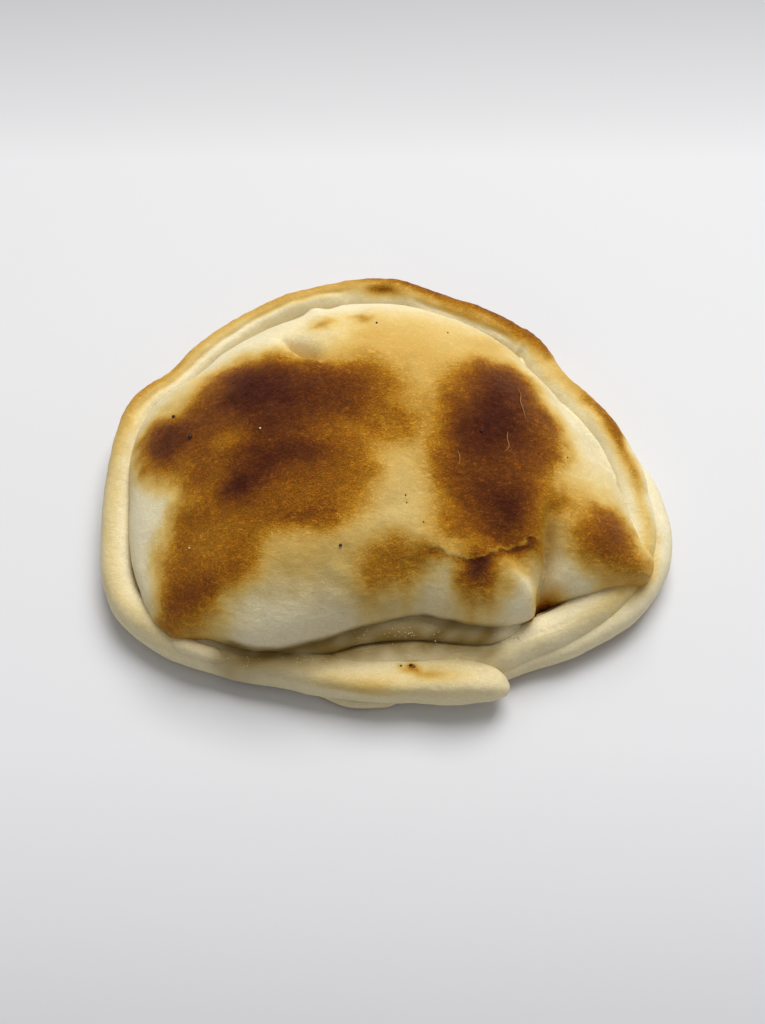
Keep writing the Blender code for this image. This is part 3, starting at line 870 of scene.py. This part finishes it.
# %% Small helpers for node trees
def node(tree, kind, inputs=None, **settings):
    """New shader node with its settings, and its inputs set or linked."""
    made = tree.nodes.new(kind)
    for key, value in settings.items():
        setattr(made, key, value)
    for key, value in (inputs or {}).items():
        if isinstance(value, bpy.types.NodeSocket):
            tree.links.new(value, made.inputs[key])
        else:
            made.inputs[key].default_value = value
    return made


def maths(tree, operation, a, b, clamp=False):
    """Output of one arithmetic node."""
    return node(tree, "ShaderNodeMath", {0: a, 1: b}, operation=operation, use_clamp=clamp).outputs[0]


def mapped(tree, value, low, high, out_low=0.0, out_high=1.0):
    """The value carried from one range to another in a straight line, and held at both ends."""
    inputs = {"Value": value, "From Min": low, "From Max": high, "To Min": out_low, "To Max": out_high}
    return node(tree, "ShaderNodeMapRange", inputs).outputs[0]


def weighted(tree, values, weights):
    """Sum of the values, each multiplied by its weight."""
    total = 0.0
    for value, weight in zip(values, weights):
        total = maths(tree, "ADD", total, maths(tree, "MULTIPLY", value, weight))
    return total


def noise(tree, place, scale, detail, roughness, distortion=0.0):
    """Noise of -0.5 to 0.5, with about scale features in a metre."""
    inputs = {"Vector": place, "Scale": scale, "Detail": detail, "Roughness": roughness}
    made = node(tree, "ShaderNodeTexNoise", {**inputs, "Distortion": distortion})
    return maths(tree, "SUBTRACT", made.outputs["Fac"], 0.5)

# %% Baked dough
CRUST_COLOURS = [
    (0.0, (0.85, 0.77, 0.54)), (0.1, (0.76, 0.61, 0.3)), (0.2, (0.71, 0.5, 0.165)),
    (0.3, (0.62, 0.385, 0.09)), (0.4, (0.54, 0.295, 0.046)), (0.5, (0.42, 0.186, 0.01)),
    (0.6, (0.31, 0.112, 0.004)), (0.7, (0.21, 0.063, 0.003)), (0.8, (0.125, 0.032, 0.004)),
    (0.9, (0.072, 0.014, 0.003)), (1.0, (0.04, 0.006, 0.002)),
]
# Colour of moist dough, also used for the painted shade on the dome's near face
WET_AND_SHADE_COLOUR = (0.28, 0.18, 0.04, 1.0)
# Wrinkles and grain are longer from left to right than the other way
LONG_WAY = (0.7, 1.15, 1.15)
# How far the broad and the mottled noise stir the place on the ramp, how much grain and curls change
# its light, and how much mottle, curls and grain show in the bump, whose full depth is in metres
STIR = (0.12, 0.14)
LIGHTEN = (1.5, 0.8)
BUMP = (0.5, 0.22, 0.45)
BUMP_DEPTH = 0.0008


def ramp(tree, place, stops):
    """Colour ramp through the stops."""
    made = node(tree, "ShaderNodeValToRGB", {"Fac": place})
    elements = made.color_ramp.elements
    for i, (at, colour) in enumerate(stops):
        element = elements[i] if i < 2 else elements.new(at)
        element.position = at
        element.color = (*colour, 1.0)
    return made.outputs["Color"]


def fibres(tree, place, scale, distortion, width):
    """Thin curly lines, 0 to 1: where a distorted noise passes through its middle value."""
    away = maths(tree, "ABSOLUTE", noise(tree, place, scale, 2, 0.5, distortion), 0)
    return maths(tree, "SUBTRACT", 1.0, maths(tree, "DIVIDE", away, width), clamp=True)


def baked_dough():
    """Crust from raw to burnt, picked by the browning field, moist where the wetness field is high; both
    fields also carry painted shade.
    """
    material = bpy.data.materials.new("baked_dough")
    material.use_nodes = True
    tree = material.node_tree
    shader = tree.nodes["Principled BSDF"]
    metres = node(tree, "ShaderNodeTexCoord").outputs["Object"]
    long_way = node(tree, "ShaderNodeVectorMath", {0: metres, 1: LONG_WAY}, operation="MULTIPLY").outputs[0]
    brown = node(tree, "ShaderNodeAttribute", attribute_name="browning_and_shade").outputs["Fac"]
    wet_and_shade = node(tree, "ShaderNodeAttribute", attribute_name="wetness_and_shade").outputs["Fac"]

    broad = noise(tree, metres, 160, 3, 0.55)
    mottle = noise(tree, metres, 700, 3, 0.6, 0.5)
    grain = noise(tree, long_way, 2400, 3, 0.6, 1.0)
    broad_curls = fibres(tree, long_way, 420, 2.2, 0.05)
    curls = maths(tree, "MAXIMUM", broad_curls, fibres(tree, long_way, 750, 2.6, 0.06))
    strength = mapped(tree, brown, 0.3, 0.6, 0.15)
    stir = maths(tree, "MULTIPLY", weighted(tree, (broad, mottle), STIR), strength)
    crust = ramp(tree, maths(tree, "ADD", brown, stir, clamp=True), CRUST_COLOURS)
    light = maths(tree, "MULTIPLY", weighted(tree, (grain, curls), LIGHTEN), strength)
    light = maths(tree, "ADD", light, 0.95)
    dry = node(tree, "ShaderNodeVectorMath", {0: crust, "Scale": light}, operation="SCALE").outputs[0]
    colour = node(tree, "ShaderNodeMix", {6: dry, 7: WET_AND_SHADE_COLOUR, 0: wet_and_shade}, data_type="RGBA").outputs[2]
    tree.links.new(colour, shader.inputs["Base Color"])
    tree.links.new(mapped(tree, wet_and_shade, 0.45, 1.0, 0.1, 0.24), shader.inputs["Specular IOR Level"])
    gloss = mapped(tree, weighted(tree, (wet_and_shade, grain), (1.0, 0.5)), 0.3, 1.0, 0.45, 0.3)
    tree.links.new(gloss, shader.inputs["Roughness"])

    surface = weighted(tree, (mottle, curls, grain), BUMP)
    height = maths(tree, "MULTIPLY", surface, mapped(tree, strength, 0.0, 1.0, 0.1, 0.9))
    bump = node(tree, "ShaderNodeBump", {"Height": height, "Strength": 1.0, "Distance": BUMP_DEPTH})
    tree.links.new(bump.outputs["Normal"], shader.inputs["Normal"])
    shader.inputs["Subsurface Weight"].default_value = 0.08
    shader.inputs["Subsurface Radius"].default_value = (1.0, 0.45, 0.18)
    shader.inputs["Subsurface Scale"].default_value = 0.002
    return material


DOUGH = baked_dough()
for piece in dough:
    piece.data.materials.append(DOUGH)
print(len(CRUST_COLOURS), "colours,", len(DOUGH.node_tree.nodes), "nodes")

# %% [markdown]
# ## Small things on the crust
#
# A few specks burnt black, thin flakes stand up where the crust split, two grains of flour stuck,
# and drops of fat dried in the valley. Each kind is one joined mesh: drops are squashed spheres
# with a few dozen faces, and flakes are thin rolls.

# %% The top of the dough at a place
skin = np.concatenate([mesh_points(piece) for piece in dough])


def top_height(x, y, reach=0.6):
    """The highest point of the dough within a short reach, in drawn millimetres."""
    near = np.hypot(skin[:, 0] - x, skin[:, 1] - y) < reach
    return skin[near, 2].max()


def small_piece(name, grids, closes, material):
    """Grids of points joined into one mesh on the root."""
    points = np.concatenate([grid.reshape(-1, 3) for grid in grids])
    quads = grid_quads(grids[0], *closes)
    faces = np.concatenate([quads + k * grids[0][..., 0].size for k in range(len(grids))])
    piece = mesh_object(name, to_frame(points), faces)
    weld(piece.data)
    piece.data.materials.append(material)
    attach(piece, "root")
    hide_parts("empanada")


def drops(places, flatness):
    """Squashed spheres, sunk a little into the dough, from x, y and the radius of each."""
    turn = np.linspace(0, 2 * np.pi, 10, endpoint=False)[:, None]
    down = np.linspace(0, np.pi, 7)
    ball = np.stack([np.cos(turn) * np.sin(down), np.sin(turn) * np.sin(down), np.cos(down) + 0 * turn], 2)
    return [ball * (r, r, r * flatness) + (x, y, top_height(x, y) + 0.1 * r) for x, y, r in places]

# %% Burnt specks, flakes, flour and dried fat
def even_material(name, colour, roughness, level):
    """One even colour with its gloss."""
    material = bpy.data.materials.new(name)
    material.use_nodes = True
    shader = material.node_tree.nodes["Principled BSDF"]
    shader.inputs["Base Color"].default_value = (*colour, 1.0)
    shader.inputs["Roughness"].default_value = roughness
    shader.inputs["Specular IOR Level"].default_value = level
    return material


# Specks: x, y and radius. Flakes: points x, y. Dried fat: how many drops, the ends of their x, and the
# middle and spread of their y.
SPECKS = [
    (-11, -28, 0.42), (5.5, -15, 0.22), (5.8, -17, 0.18), (10, -22, 0.2), (-2, 42.5, 0.32),
    (17.7, 39.8, 0.22), (-57.5, 16, 0.5), (-52, 7.5, 0.6), (25.5, 4, 0.42), (4.4, -51.6, 0.3),
    (7.0, -51.4, 0.42), (7.9, -52.0, 0.3), (48.9, 1.1, 0.2), (-41, 23, 0.25),
]
FLAKES = [
    [(36.2, 21), (36.9, 18.5), (36.6, 16), (37.2, 13), (37.7, 10)],
    [(32.6, 5.2), (32.3, 3), (32.7, 0.8), (31.4, -1.6)], [(44.2, -2), (44.6, -4), (44.2, -6)],
    [(19, -2), (19.6, -4.5), (19.2, -6.5)],
]
FLOUR = [(-32.5, 5.5, 0.28), (-50.6, -24.5, 0.24)]
FAT = [(46, (-12, 16), (-44.0, 0.9)), (14, (28, 36), (-44.2, 0.6)), (26, (-44, -14), (-50.2, 0.7))]
FLAKE_SECTIONS = [(0, 0.07, 0.12, 0), (0.5, 0.1, 0.16, 25), (1, 0.06, 0.1, 0)]

random = np.random.default_rng(61)
fat_x = np.concatenate([random.uniform(*ends, count) for count, ends, _ in FAT])
fat_y = np.concatenate([random.normal(*middle, count) for count, _, middle in FAT])
fat = np.stack([fat_x, fat_y, random.uniform(0.1, 0.22, len(fat_x))], 1)

burnt_and_hole_shade = even_material("burnt_and_hole_shade", (0.02, 0.007, 0.003), 0.5, 0.3)
small_piece("burnt_specks", drops(SPECKS, 0.5), (True, False), burnt_and_hole_shade)
pale = even_material("flour", (0.75, 0.62, 0.4), 0.7, 0.2)
small_piece("flour_grains", drops(FLOUR, 0.7), (True, False), pale)
small_piece("dried_fat", drops(fat, 0.6), (True, False), even_material("fat", (0.62, 0.5, 0.27), 0.18, 0.6))
flakes = []
for line in FLAKES:
    path = [(x, y, top_height(x, y) + 0.02) for x, y in line]
    flakes.append(open_roll(path, FLAKE_SECTIONS, 40, 8, 1.0))
small_piece("flakes", flakes, (False, True), even_material("flake", (0.4, 0.18, 0.04), 0.5, 0.2))
print("specks, grains, drops, flakes:", len(SPECKS), len(FLOUR), len(fat), len(FLAKES))

# %% [markdown]
# ## Floor, light and camera
#
# One broad soft light from above and behind leaves a gentle shadow on the near side of a pale
# floor. A little light from all round lets the shaded face keep its colour.
# Shade towards the floor's near and far ends is painted into its colour.

# %% Floor
FLOOR_HALF = 3.0
FLOOR_SPAN = (-0.15, 0.2)
# Floor colour from near to far: even round the empanada, with painted shade towards both ends
FLOOR_COLOURS_AND_SHADE = [
    (0.0, (0.575, 0.575, 0.59)), (0.1, (0.65, 0.65, 0.665)), (0.22, (0.71, 0.71, 0.725)),
    (0.55, (0.71, 0.71, 0.72)), (0.78, (0.69, 0.69, 0.7)), (0.84, (0.61, 0.61, 0.62)),
    (1.0, (0.45, 0.45, 0.46)),
]


def paper():
    """Pale paper, even round the empanada, with painted shade that darkens it towards the near and far
    ends.
    """
    material = even_material("pale_paper", (0.8, 0.8, 0.8), 0.7, 0.1)
    tree = material.node_tree
    place = node(tree, "ShaderNodeTexCoord").outputs["Object"]
    far = node(tree, "ShaderNodeSeparateXYZ", {"Vector": place}).outputs["Y"]
    share = mapped(tree, far, *FLOOR_SPAN)
    tree.links.new(ramp(tree, share, FLOOR_COLOURS_AND_SHADE), tree.nodes["Principled BSDF"].inputs["Base Color"])
    return material


floor_z = NODE_LOW[2]
corners = np.array([(-1, -1, 0), (1, -1, 0), (1, 1, 0), (-1, 1, 0)]) * FLOOR_HALF + (0, 0, floor_z)
floor = mesh_object("floor", corners, np.array([[0, 1, 2, 3]]))
floor.data.materials.append(paper())
print("floor at a height of", floor_z, "m")

# %% Light
LAMP_PLACE = Vector((0.27, 0.83, 1.34))
LAMP_SIZE = 1.0
LAMP_WATTS = 28
SURROUNDING_LIGHT = 0.33


def aimed(name, data, place, direction):
    """Light or camera at a place, looking along the direction."""
    obj = bpy.data.objects.new(name, data)
    obj.location = place
    obj.rotation_mode = "QUATERNION"
    obj.rotation_quaternion = direction.to_track_quat("-Z", "Y")
    bpy.context.scene.collection.objects.link(obj)
    return obj


lamp = bpy.data.lights.new("key", "AREA")
lamp.size = LAMP_SIZE
lamp.energy = LAMP_WATTS
aimed("key", lamp, LAMP_PLACE, -LAMP_PLACE)
world = bpy.data.worlds.new("surroundings")
world.use_nodes = True
background = world.node_tree.nodes["Background"]
background.inputs["Color"].default_value = (1, 1, 1, 1)
background.inputs["Strength"].default_value = SURROUNDING_LIGHT
bpy.context.scene.world = world
bpy.context.scene.view_settings.view_transform = "Standard"

# %% Camera
CAMERA_LENS = 50
CAMERA_ELEVATION = 64.0
CAMERA_DISTANCE = 0.392
CAMERA_TARGET = Vector((-0.0009, -0.0102, 0.012))

lens = bpy.data.cameras.new("camera")
lens.lens = CAMERA_LENS
lens.sensor_width = 36
lens.clip_start = 0.01
lift = np.radians(CAMERA_ELEVATION)
back = Vector((0, -np.cos(lift), np.sin(lift)))
bpy.context.scene.camera = aimed("camera", lens, CAMERA_TARGET + back * CAMERA_DISTANCE, -back)
print("camera", CAMERA_DISTANCE, "m away,", CAMERA_ELEVATION, "degrees up")
